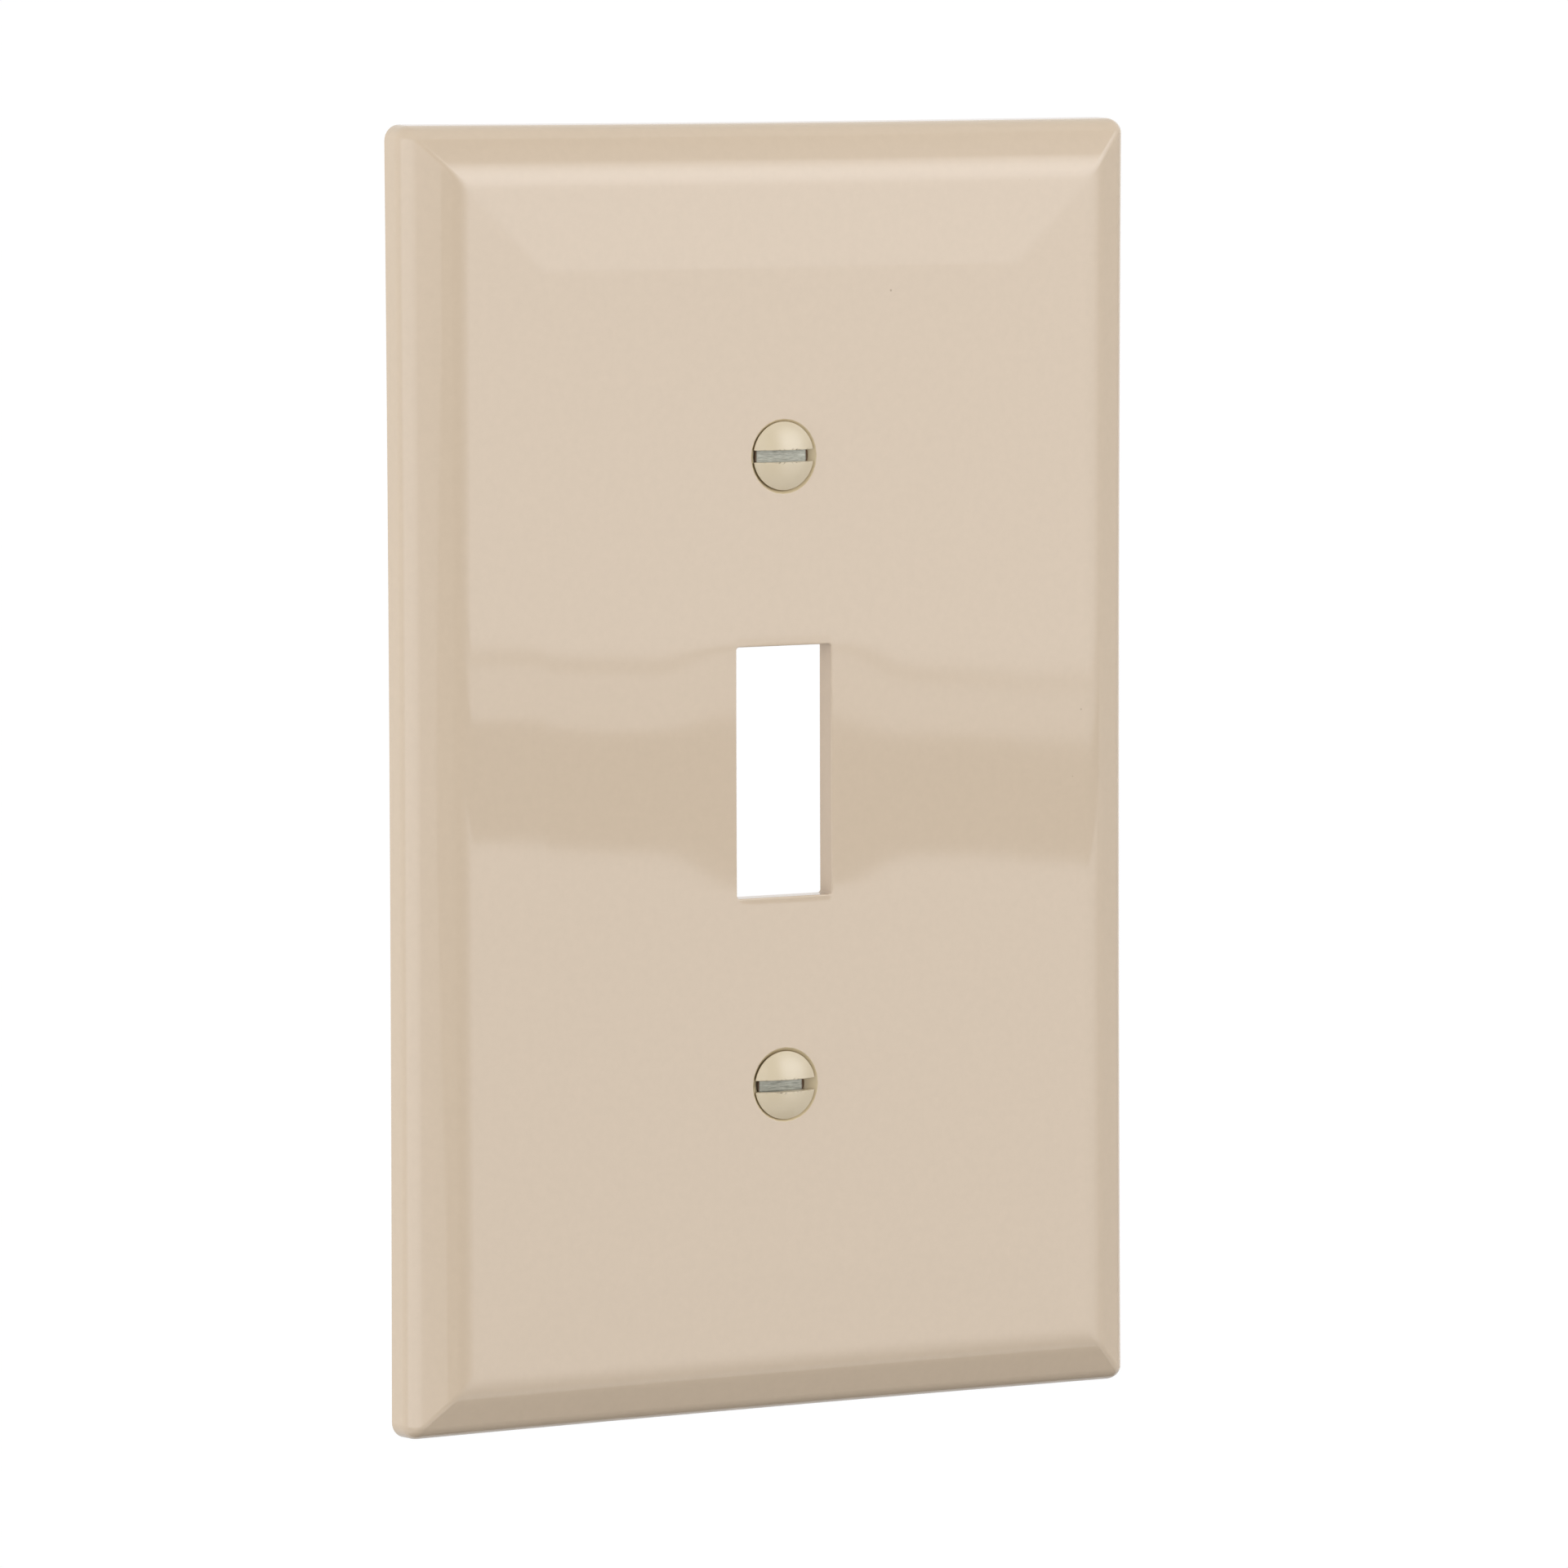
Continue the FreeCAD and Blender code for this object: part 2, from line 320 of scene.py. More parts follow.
def drawn_round(mesh, edges, centre, radius):
    """Extrude the edges round a patch and draw the new ones in to a circle about an upright axis."""
    ring = extruded(mesh, edges)
    for vert in verts_of(ring):
        spoke = Vector((vert.co.x - centre.x, vert.co.z - centre.z)).normalized() * radius
        vert.co.x = centre.x + spoke.x
        vert.co.z = centre.z + spoke.y
    return ring


def grow_circle(mesh, edges, centre, factor, depth):
    """Extrude a circle, scale it about its axis and move it along Y."""
    ring = extruded(mesh, edges)
    verts = verts_of(ring)
    space = Matrix.Translation(-centre)
    bmesh.ops.scale(mesh, vec=(factor, 1, factor), space=space, verts=verts)
    bmesh.ops.translate(mesh, vec=(0, depth, 0), verts=verts)
    return ring


def round_off(mesh, parts, width, segments, affect="EDGES"):
    """Bevel edges or corner points to a round."""
    bmesh.ops.bevel(
        mesh,
        geom=parts,
        offset=width,
        offset_type="OFFSET",
        segments=segments,
        profile=0.5,
        affect=affect,
        material=-1,
    )


def put_in_scene(mesh, name, materials):
    """Make an object of a bmesh, which is freed."""
    data = bpy.data.meshes.new(name)
    mesh.to_mesh(data)
    mesh.free()
    for material in materials:
        data.materials.append(material)
    made = bpy.data.objects.new(name, data)
    bpy.context.scene.collection.objects.link(made)
    return made


def finish_piece(mesh, name, materials, sharp_degrees):
    """Turn a bmesh into a shown object with smooth shading broken at its sharp edges."""
    bmesh.ops.remove_doubles(mesh, verts=mesh.verts[:], dist=WELD)
    bmesh.ops.recalc_face_normals(mesh, faces=mesh.faces[:])
    loose = [edge for edge in mesh.edges if edge.is_wire]
    bmesh.ops.delete(mesh, geom=loose, context="EDGES")
    piece = put_in_scene(mesh, name, materials)
    piece.data.shade_smooth()
    piece.data.set_sharp_from_angle(angle=math.radians(sharp_degrees))
    return piece


def soften(piece, width, segments):
    """Round what is still sharp and let the large faces rule the shading."""
    bevel = piece.modifiers.new("Mould rounding", "BEVEL")
    bevel.width = width
    bevel.segments = segments
    bevel.limit_method = "ANGLE"
    bevel.angle_limit = math.radians(SHARP_DEGREES)
    bevel.harden_normals = False
    bevel.use_clamp_overlap = True
    shade = piece.modifiers.new("Face shading", "WEIGHTED_NORMAL")
    shade.keep_sharp = True
    shade.weight = 50


# ---- Cover ------------------------------------------------------------------------------------


def outer_profile(sizes):
    """The cover's front from its wall edge to the flat, as (in, up) points."""
    depth = -PLATE_LOW.y
    slope = math.tan(sizes.bevel_angle)
    lean = math.tan(sizes.flank_draft)
    crest_up = depth - (sizes.border_run - sizes.bevel_run) * math.tan(sizes.border_angle)
    shoulder_up = (crest_up - sizes.bevel_run * slope) / (1 - lean * slope)
    flat_run = sizes.border_run + sizes.cell
    corners = [
        (0, 0, 0),
        (shoulder_up * lean, shoulder_up, sizes.shoulder_radius),
        (sizes.bevel_run, crest_up, sizes.crest_radius),
        (sizes.border_run, depth, sizes.border_blend),
        (flat_run, depth, 0),
    ]
    return rounded_outline(corners, FRONT_STEPS), crest_up


def hollow_profile(sizes, crest_up):
    """The hollow from the rim's inner edge to its ceiling, as (in, up) points."""
    slope = math.tan(sizes.bevel_angle)
    lean = math.tan(sizes.hollow_draft)
    ceiling_up = -PLATE_LOW.y - sizes.face_wall
    inner_crest_up = crest_up - sizes.bevel_wall / math.cos(sizes.bevel_angle)
    run = sizes.bevel_run - sizes.rim_width
    knee_up = (inner_crest_up - run * slope) / (1 - lean * slope)
    ceiling_in = sizes.bevel_run + (ceiling_up - inner_crest_up) / slope
    corners = [
        (sizes.rim_width, 0, 0),
        (sizes.rim_width + knee_up * lean, knee_up, sizes.hollow_radius),
        (ceiling_in, ceiling_up, sizes.hollow_radius),
        (ceiling_in + sizes.rim_width, ceiling_up, 0),
    ]
    return rounded_outline(corners, HOLLOW_STEPS), ceiling_in


def start_outline(mesh, sizes):
    """The cover's outline in the wall plane, as a loop of edges with rounded corners."""
    made = bmesh.ops.create_grid(mesh, x_segments=1, y_segments=1, size=0.5)["verts"]
    bmesh.ops.scale(mesh, vec=(PLATE_HIGH.x * 2, PLATE_HIGH.z * 2, 1), verts=made)
    bmesh.ops.rotate(mesh, cent=(0, 0, 0), matrix=Matrix.Rotation(math.pi / 2, 3, "X"), verts=made)
    round_off(mesh, mesh.verts[:], sizes.corner_radius, CORNER_SEGMENTS, "VERTICES")
    bmesh.ops.delete(mesh, geom=mesh.faces[:], context="FACES_ONLY")
    return mesh.edges[:]


def move_corners(mesh, verts, old, new):
    """Move the four corner arcs of a loop from one (in, up, radius) to another."""
    for side_x, side_z in CORNERS:
        group = [vert for vert in verts if vert.co.x * side_x > 0 and vert.co.z * side_z > 0]
        old_centre = corner_centre(old, side_x, side_z)
        factor = new[2] / old[2]
        space = Matrix.Translation(-old_centre)
        bmesh.ops.scale(mesh, vec=(factor, 1, factor), space=space, verts=group)
        shift = corner_centre(new, side_x, side_z) - old_centre
        bmesh.ops.translate(mesh, vec=shift, verts=group)


def corner_centre(place, side_x, side_z):
    """Axis of a corner arc that lies in from the outline, at a height in front of the wall."""
    run, up, radius = place
    return Vector(
        (side_x * (PLATE_HIGH.x - run - radius), -up, side_z * (PLATE_HIGH.z - run - radius))
    )


def loft(mesh, loop, start, outline, radius_at):
    """Extrude a loop through an outline, rounding its corners as radius_at says, to its last loop."""
    place = start
    for point in outline:
        target = (point.x, point.y, radius_at(point.x))
        loop = extruded(mesh, loop)
        move_corners(mesh, verts_of(loop), place, target)
        place = target
    return loop


def cover_shell(mesh, sizes):
    """The closed shell of the cover: front, rim and hollow, with no holes yet."""
    base = start_outline(mesh, sizes)
    start = (0, 0, sizes.corner_radius)
    front, crest_up = outer_profile(sizes)
    face = loft(
        mesh,
        base,
        start,
        front[1:],
        lambda run: max(sizes.corner_radius - run, sizes.mitre_radius),
    )
    bmesh.ops.contextual_create(mesh, geom=face)
    hollow, ceiling_in = hollow_profile(sizes, crest_up)
    turn = sizes.rim_width + sizes.hollow_corner
    ceiling = loft(
        mesh,
        base,
        start,
        hollow,
        lambda run: max(turn - run, sizes.mitre_radius),
    )
    bmesh.ops.contextual_create(mesh, geom=ceiling)
    return ceiling_in


def grid_places(stops, cell):
    """Places between neighbouring stops, no further apart than a cell, with the stops."""
    places = list(stops)
    for low, high in zip(stops, stops[1:]):
        count = math.ceil((high - low) / cell - ROUND_OFF)
        places += [low + (high - low) * i / count for i in range(1, count)]
    return sorted(places)


def cut_grid(mesh, sizes, ceiling_in):
    """Cut the shell along the lines that the opening, screws and ribs need, and fill in between."""
    half_patch = sizes.patch_size / 2
    rib_inner = (sizes.rib_spacing - sizes.rib_thickness) / 2
    rib_outer = (sizes.rib_spacing + sizes.rib_thickness) / 2
    rib_end = PLATE_HIGH.z - ceiling_in - sizes.rib_end_gap
    half_width = sizes.toggle_width / 2
    half_height = sizes.toggle_height / 2
    screw_z = max(SCREW_HEIGHTS.values())
    across = [0, half_width, half_width + OPENING_MARGIN, rib_inner, rib_outer]
    up = [
        0,
        half_height,
        half_height + OPENING_MARGIN,
        screw_z - half_patch,
        screw_z + half_patch,
        rib_end,
    ]
    for stops, direction in ((across, Vector((1, 0, 0))), (up, Vector((0, 0, 1)))):
        for place in grid_places(stops, sizes.cell / 2):
            for side in {-1, 1} if place else {1}:
                slice_all(mesh, direction * side * place, direction)
    return rib_inner, rib_outer, rib_end


def open_toggle(mesh, sizes):
    """Cut the toggle opening through face and ceiling and round its corners and lip."""
    half_width = sizes.toggle_width / 2
    half_height = sizes.toggle_height / 2
    face_y = PLATE_LOW.y
    ceiling_y = face_y + sizes.face_wall
    loops = []
    for level in (face_y, ceiling_y):
        low = (-half_width, level - WELD, -half_height)
        high = (half_width, level + WELD, half_height)
        patch = faces_within(mesh, low, high)
        loops += open_edges(patch)
        bmesh.ops.delete(mesh, geom=patch, context="FACES")
    loops = [edge for edge in loops if edge.is_valid]
    bmesh.ops.bridge_loops(mesh, edges=loops)
    uprights = []
    for edge in mesh.edges:
        ends = [vert.co for vert in edge.verts]
        crossing = abs(ends[0].y - ends[1].y) > sizes.face_wall / 2
        at_corner = all(
            abs(abs(end.x) - half_width) < WELD and abs(abs(end.z) - half_height) < WELD
            for end in ends
        )
        if crossing and at_corner:
            uprights.append(edge)
    round_off(mesh, uprights, sizes.toggle_corner, segments=4)
    lip = []
    for edge in mesh.edges:
        ends = [vert.co for vert in edge.verts]
        inside = all(
            abs(end.x) < half_width + WELD and abs(end.z) < half_height + WELD for end in ends
        )
        if inside and all(abs(end.y - face_y) < WELD for end in ends):
            lip.append(edge)
    round_off(mesh, lip, sizes.toggle_lip, segments=3)


def square_hole(mesh, half, level, at_z):
    """Take a square patch out of the face or the ceiling and return the edges round it."""
    low = (-half, level - WELD, at_z - half)
    high = (half, level + WELD, at_z + half)
    patch = faces_within(mesh, low, high)
    edges = open_edges(patch)
    bmesh.ops.delete(mesh, geom=patch, context="FACES")
    return [edge for edge in edges if edge.is_valid]


def screw_hole(mesh, sizes, at_z):
    """Countersink, clearance hole and boss of one screw."""
    half = sizes.patch_size / 2
    face_y = PLATE_LOW.y
    ceiling_y = face_y + sizes.face_wall
    centre = Vector((0, 0, at_z))
    mouth = drawn_round(mesh, square_hole(mesh, half, face_y, at_z), centre, sizes.mouth_radius)
    cone_depth = (sizes.mouth_radius - sizes.hole_radius) / math.tan(sizes.cone_angle / 2)
    throat = grow_circle(mesh, mouth, centre, sizes.hole_radius / sizes.mouth_radius, cone_depth)
    root = drawn_round(mesh, square_hole(mesh, half, ceiling_y, at_z), centre, sizes.boss_radius)
    boss_end = grow_circle(mesh, root, centre, 1, -sizes.boss_gap - ceiling_y)
    hole_end = drawn_round(mesh, boss_end, centre, sizes.hole_radius)
    wall = grow_circle(mesh, throat, centre, 1, -sizes.boss_gap - face_y - cone_depth)
    bmesh.ops.remove_doubles(mesh, verts=verts_of(hole_end) + verts_of(wall), dist=10 * WELD)


def raise_ribs(mesh, sizes, rib_inner, rib_outer, rib_end):
    """Extrude the two upright ribs from the ceiling towards the wall."""
    ceiling_y = PLATE_LOW.y + sizes.face_wall
    for side in (-1, 1):
        near, far = sorted((side * rib_inner, side * rib_outer))
        low = (near, ceiling_y - WELD, -rib_end)
        high = (far, ceiling_y + WELD, rib_end)
        patch = faces_within(mesh, low, high)
        made = bmesh.ops.extrude_face_region(mesh, geom=patch)["geom"]
        verts = [item for item in made if isinstance(item, bmesh.types.BMVert)]
        bmesh.ops.translate(mesh, vec=(0, -sizes.rib_gap - ceiling_y, 0), verts=verts)
        bmesh.ops.delete(mesh, geom=patch, context="FACES_ONLY")


def mark_recesses(mesh, sizes):
    """Give the screw seats a copy of the plastic with painted light, and the walls of the toggle
    opening a darker copy with painted shade.
    """
    seat_depth = (sizes.mouth_radius - sizes.hole_radius) / math.tan(sizes.cone_angle / 2)
    for face in mesh.faces:
        middle = face.calc_center_median()
        level = middle.y - PLATE_LOW.y
        apart = min(math.hypot(middle.x, middle.z - at_z) for at_z in SCREW_HEIGHTS.values())
        if apart < sizes.mouth_radius and face.normal.y > SEAT_FACING and level < seat_depth:
            face.material_index = SEAT_SLOT
        inside = abs(middle.x) < sizes.toggle_width / 2 + WELD
        inside = inside and abs(middle.z) < sizes.toggle_height / 2 + WELD
        if inside and level > sizes.toggle_lip:
            face.material_index = WALL_SLOT


def smooth_step(value):
    value = max(0.0, min(1.0, value))
    return value * value * (3 - 2 * value)


def relax_mould(mesh, sizes):
    """Bow the cover as it came out of its mould, and let the face sink round the opening."""
    for vert in mesh.verts:
        across = vert.co.x / PLATE_HIGH.x
        up = vert.co.z / PLATE_HIGH.z
        beside = max(0.0, abs(vert.co.x) - sizes.toggle_width / 2) / sizes.sink_reach
        along = vert.co.z / (sizes.toggle_height / 2 + sizes.edge_radius)
        near = smooth_step(1 - beside) * max(0.0, 1 - along * along)
        lift = max(0.0, -vert.co.y / -PLATE_LOW.y)
        vert.co.x -= across * sizes.side_bow * (1 - up * up)
        vert.co.z -= up * sizes.end_bow * (1 - across * across)
        vert.co.y += (sizes.face_bow * (1 - up * up) + sizes.sink_depth * near) * lift


# ---- Screws -----------------------------------------------------------------------------------


def head_outline(sizes, height):
    """A screw head and neck as (radius, up) points, from the crown to the thread."""
    radius = HEAD_HIGH.x
    crown_up = -HEAD_LOW.y
    rim_up = crown_up - sizes.dome_height
    cone_up = rim_up - sizes.head_land
    dome_radius = (radius**2 + sizes.dome_height**2) / (2 * sizes.dome_height)
    sweep = math.asin(radius / dome_radius)
    turns = [sweep * i / DOME_STEPS for i in range(DOME_STEPS + 1)]
    dome = [
        (dome_radius * math.sin(turn), crown_up - dome_radius * (1 - math.cos(turn)))
        for turn in turns
    ]
    neck_up = cone_up - (radius - sizes.neck_radius) / math.tan(sizes.head_angle / 2)
    return dome + [(radius, cone_up), (sizes.neck_radius, neck_up), (sizes.neck_radius, height)]


def turn_outline(mesh, outline, steps, turns, advance):
    """Turn (radius, up) points round the Y axis, moving along it by advance in each turn."""
    verts = [mesh.verts.new((radius, -up, 0)) for radius, up in outline]
    edges = [mesh.edges.new(pair) for pair in zip(verts, verts[1:])]
    bmesh.ops.spin(
        mesh,
        geom=verts + edges,
        cent=(0, 0, 0),
        axis=(0, 1, 0),
        dvec=(0, advance / steps, 0),
        angle=2 * math.pi * turns,
        steps=steps * turns,
        use_merge=advance == 0,
        use_duplicate=False,
    )


def rim_where(mesh, test):
    """The open edges whose two ends both pass a test of their place."""
    return [
        edge
        for edge in mesh.edges
        if edge.is_boundary and all(test(vert.co) for vert in edge.verts)
    ]


def close_slot_wall(mesh, at_z, floor_y):
    """Fill one of the slot's two walls."""
    wall = rim_where(mesh, lambda end: abs(end.z - at_z) < WELD and end.y < floor_y + WELD)
    feet = [vert for vert in verts_of(wall) if abs(vert.co.y - floor_y) < WELD]
    feet.sort(key=lambda vert: vert.co.x)
    bottom = mesh.edges.new((feet[0], feet[-1]))
    bmesh.ops.edgeloop_fill(mesh, edges=wall + [bottom])


def close_slot_floor(mesh, half, floor_y):
    """Fill the slot's floor and return half its length."""
    floor = rim_where(mesh, lambda end: abs(end.y - floor_y) < WELD and abs(end.z) < half + WELD)
    filled = bmesh.ops.edgeloop_fill(mesh, edges=floor)["faces"]
    return max(vert.co.x for vert in filled[0].verts)


def cut_slot(mesh, sizes, depth):
    """Cut the driver slot across the head, close it, and return where the painted shade on its floor
    starts.
    """
    half = sizes.slot_width / 2
    floor_y = HEAD_LOW.y + depth
    reach = HEAD_HIGH.x * 2
    for side in (-half, half):
        slice_all(mesh, (0, 0, side), (0, 0, 1))
    slice_all(mesh, (0, floor_y, 0), (0, 1, 0))
    gone = faces_within(mesh, (-reach, HEAD_LOW.y - depth, -half), (reach, floor_y, half))
    bmesh.ops.delete(mesh, geom=gone, context="FACES")
    for side in (-half, half):
        close_slot_wall(mesh, side, floor_y)
    # The painted shade covers the last stretch of the floor at each end; the floor is cut where it
    # starts
    end_x = close_slot_floor(mesh, half, floor_y) - sizes.shade_reach
    for side in (-1, 1):
        floor = faces_within(mesh, (-reach, floor_y - WELD, -half), (reach, floor_y + WELD, half))
        bmesh.ops.bisect_plane(
            mesh,
            geom=floor + edges_of(floor) + verts_of(floor),
            dist=WELD,
            plane_co=(side * end_x, 0, 0),
            plane_no=(1, 0, 0),
        )
    lips = []
    for edge in mesh.edges:
        ends = [vert.co for vert in edge.verts]
        on_wall = all(abs(abs(end.z) - half) < WELD for end in ends)
        if on_wall and ends[0].z * ends[1].z > 0 and all(end.y < floor_y - WELD for end in ends):
            lips.append(edge)
    round_off(mesh, lips, sizes.slot_lip, segments=3)
    return end_x


def thread_outline(sizes):
    """One turn of the thread as (radius, up) points, a turn above its start."""
    root = sizes.major_radius - sizes.thread_depth
    flank = sizes.thread_depth * math.tan(THREAD_HALF_ANGLE)
    crest = sizes.pitch * CREST_SHARE
    foot = (sizes.pitch - 2 * flank - crest) / 2
    lead = sizes.thread_start + sizes.pitch
    return [
        (root, lead),
        (root, lead - foot),
        (sizes.major_radius, lead - foot - flank),
        (sizes.major_radius, lead - foot - flank - crest),
        (root, lead - foot - 2 * flank - crest),
        (root, lead - sizes.pitch),
    ]


def add_thread(mesh, sizes):
    """Turn the thread, trim it at both ends and join it to the neck."""
    start_y = -sizes.thread_start
    tip_y = HEAD_HIGH.y
    before = set(mesh.verts)
    turns = math.ceil((tip_y - start_y) / sizes.pitch) + 2
    turn_outline(mesh, thread_outline(sizes), sizes.thread_steps, turns, sizes.pitch)
    thread = [vert for vert in mesh.verts if vert not in before]
    bmesh.ops.remove_doubles(mesh, verts=thread, dist=THREAD_WELD)
    for place, direction in ((start_y, -1), (tip_y, 1)):
        thread = [vert for vert in mesh.verts if vert not in before]
        edges = once(edge for vert in thread for edge in vert.link_edges)
        faces = once(face for vert in thread for face in vert.link_faces)
        bmesh.ops.bisect_plane(
            mesh,
            geom=thread + edges + faces,
            dist=WELD,
            plane_co=(0, place, 0),
            plane_no=(0, direction, 0),
            clear_outer=True,
        )
    thread = [vert for vert in mesh.verts if vert not in before]
    for vert in thread:
        reach = math.hypot(vert.co.x, vert.co.z)
        limit = min(
            sizes.neck_radius + vert.co.y - start_y,
            sizes.major_radius - sizes.tip_chamfer + tip_y - vert.co.y,
        )
        if reach > limit:
            vert.co.x *= limit / reach
            vert.co.z *= limit / reach
    rims = [edge for edge in mesh.edges if edge.is_boundary]
    top = [edge for edge in rims if edge.verts[0].co.y < start_y + WELD]
    tip = [edge for edge in rims if abs(edge.verts[0].co.y - tip_y) < WELD]
    bmesh.ops.bridge_loops(mesh, edges=top)
    bmesh.ops.edgeloop_fill(mesh, edges=tip)


def paint_zones(mesh, sizes, depth, end_x):
    """Say whether each point of a screw is painted, bare, or in painted shade at the ends of the
    slot's floor.
    """
    layer = mesh.verts.layers.float.new("paint_cover")
    land_y = HEAD_LOW.y + sizes.dome_height + sizes.head_land
    under_y = land_y + (HEAD_HIGH.x - sizes.neck_radius) / math.tan(sizes.head_angle / 2)
    floor_y = HEAD_LOW.y + depth
    half = sizes.slot_width / 2
    for vert in mesh.verts:
        in_width = abs(vert.co.z) < half + WELD
        on_floor = in_width and abs(vert.co.y - floor_y) < WELD
        below_slot = in_width and vert.co.y > floor_y - WELD
        # Painted shade on the ends of the slot's floor
        if on_floor and abs(vert.co.x) > end_x + WELD:
            vert[layer] = SHADED_FLOOR_END
        elif below_slot or vert.co.y > under_y - WELD:
            vert[layer] = BARE
        else:
            vert[layer] = PAINTED


def make_screw(body, sizes, depth, materials):
    """Build one screw round its own axis and move it to its height."""
    mesh = bmesh.new()
    outline = head_outline(sizes, sizes.thread_start + NECK_GAP)
    turn_outline(mesh, outline, sizes.turn_steps, 1, 0)
    bmesh.ops.remove_doubles(mesh, verts=mesh.verts[:], dist=WELD)
    end_x = cut_slot(mesh, sizes, depth)
    add_thread(mesh, sizes)
    paint_zones(mesh, sizes, depth, end_x)
    bmesh.ops.translate(mesh, vec=(0, 0, SCREW_HEIGHTS[body]), verts=mesh.verts[:])
    piece = finish_piece(mesh, body + "_finish", materials, SCREW_SHARP_DEGREES)
    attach(piece, body)
    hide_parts(SCREW_NODES[body])
    return piece


# ---- Materials --------------------------------------------------------------------------------


def new_material(name):
    material = bpy.data.materials.new(name)
    material.use_nodes = True
    tree = material.node_tree
    return material, tree, tree.nodes["Principled BSDF"]


def node(tree, kind, **settings):
    made = tree.nodes.new(kind)
    for key, value in settings.items():
        setattr(made, key, value)
    return made


def join(tree, source, target):
    tree.links.new(source, target)


def noise(tree, place, scale, detail, roughness):
    made = node(tree, "ShaderNodeTexNoise")
    made.inputs["Scale"].default_value = scale
    made.inputs["Detail"].default_value = detail
    made.inputs["Roughness"].default_value = roughness
    join(tree, place, made.inputs["Vector"])
    return made.outputs["Fac"]


def spread(tree, value, low, high, to_low, to_high):
    """Map a value from one range to another, without leaving the second."""
    made = node(tree, "ShaderNodeMapRange")
    for name, number in (
        ("From Min", low), ("From Max", high), ("To Min", to_low), ("To Max", to_high)
    ):
        made.inputs[name].default_value = number
    join(tree, value, made.inputs["Value"])
    return made.outputs["Result"]


def product(tree, first, second):
    made = node(tree, "ShaderNodeMath", operation="MULTIPLY")
    join(tree, first, made.inputs[0])
    join(tree, second, made.inputs[1])
    return made.outputs["Value"]


def group_with(name, inputs, outputs):
    group = bpy.data.node_groups.new(name, "ShaderNodeTree")
    for socket, kind, default in inputs:
        made = group.interface.new_socket(socket, in_out="INPUT", socket_type=kind)
        if default is not None:
            made.default_value = default
    for socket, kind in outputs:
        group.interface.new_socket(socket, in_out="OUTPUT", socket_type=kind)
    return group, group.nodes.new("NodeGroupInput"), group.nodes.new("NodeGroupOutput")


def moulded_skin_group():
    """Mottle, specks and fine grain of a moulded or painted skin, from a place in metres."""
    group, given, result = group_with(
        "moulded_skin",
        [
            ("Place", "NodeSocketVector", None),
            ("Mottle Scale", "NodeSocketFloat", 900.0),
            ("Grain Scale", "NodeSocketFloat", 4200.0),
            ("Speck Scale", "NodeSocketFloat", 260.0),
        ],
        [
            ("Mottle", "NodeSocketFloat"),
            ("Specks", "NodeSocketFloat"),
            ("Grain", "NodeSocketFloat"),
        ],
    )
    for name, detail, roughness in (("Mottle", 4.0, 0.6), ("Grain", 2.0, 0.5)):
        made = node(group, "ShaderNodeTexNoise")
        made.inputs["Detail"].default_value = detail
        made.inputs["Roughness"].default_value = roughness
        join(group, given.outputs["Place"], made.inputs["Vector"])
        join(group, given.outputs[name + " Scale"], made.inputs["Scale"])
        join(group, made.outputs["Fac"], result.inputs[name])
    specks = node(group, "ShaderNodeTexVoronoi", feature="F1")
    join(group, given.outputs["Place"], specks.inputs["Vector"])
    join(group, given.outputs["Speck Scale"], specks.inputs["Scale"])
    small = spread(group, specks.outputs["Distance"], 0.02, 0.045, 1.0, 0.0)
    patches = noise(group, given.outputs["Place"], scale=47.0, detail=0.0, roughness=0.5)
    rare = spread(group, patches, 0.68, 0.72, 0.0, 1.0)
    join(group, product(group, small, rare), result.inputs["Specks"])
    return group


def use_skin(tree, group, place, mottle, grain, speck):
    """Place the skin group in a material with its own scales."""
    made = node(tree, "ShaderNodeGroup", node_tree=group)
    made.inputs["Mottle Scale"].default_value = mottle
    made.inputs["Grain Scale"].default_value = grain
    made.inputs["Speck Scale"].default_value = speck
    join(tree, place, made.inputs["Place"])
    return made


def mixed(tree, factor, first, second):
    """A colour between two colours or colour outputs."""
    made = node(tree, "ShaderNodeMix", data_type="RGBA")
    join(tree, factor, made.inputs["Factor"])
    ends = [socket for socket in made.inputs if socket.type == "RGBA"]
    for socket, value in zip(ends, (first, second)):
        if isinstance(value, bpy.types.NodeSocket):
            join(tree, value, socket)
        else:
            socket.default_value = (*value, 1.0)
    return next(socket for socket in made.outputs if socket.type == "RGBA")


def bumped(tree, height, distance, strength, below=None):
    """A normal raised by a height of a distance in metres, over another normal where one is given."""
    made = node(tree, "ShaderNodeBump")
    made.inputs["Strength"].default_value = strength
    made.inputs["Distance"].default_value = distance
    join(tree, height, made.inputs["Height"])
    if below:
        join(tree, below, made.inputs["Normal"])
    return made.outputs["Normal"]


def shaded(value, factor):
    return tuple(channel * factor for channel in value)


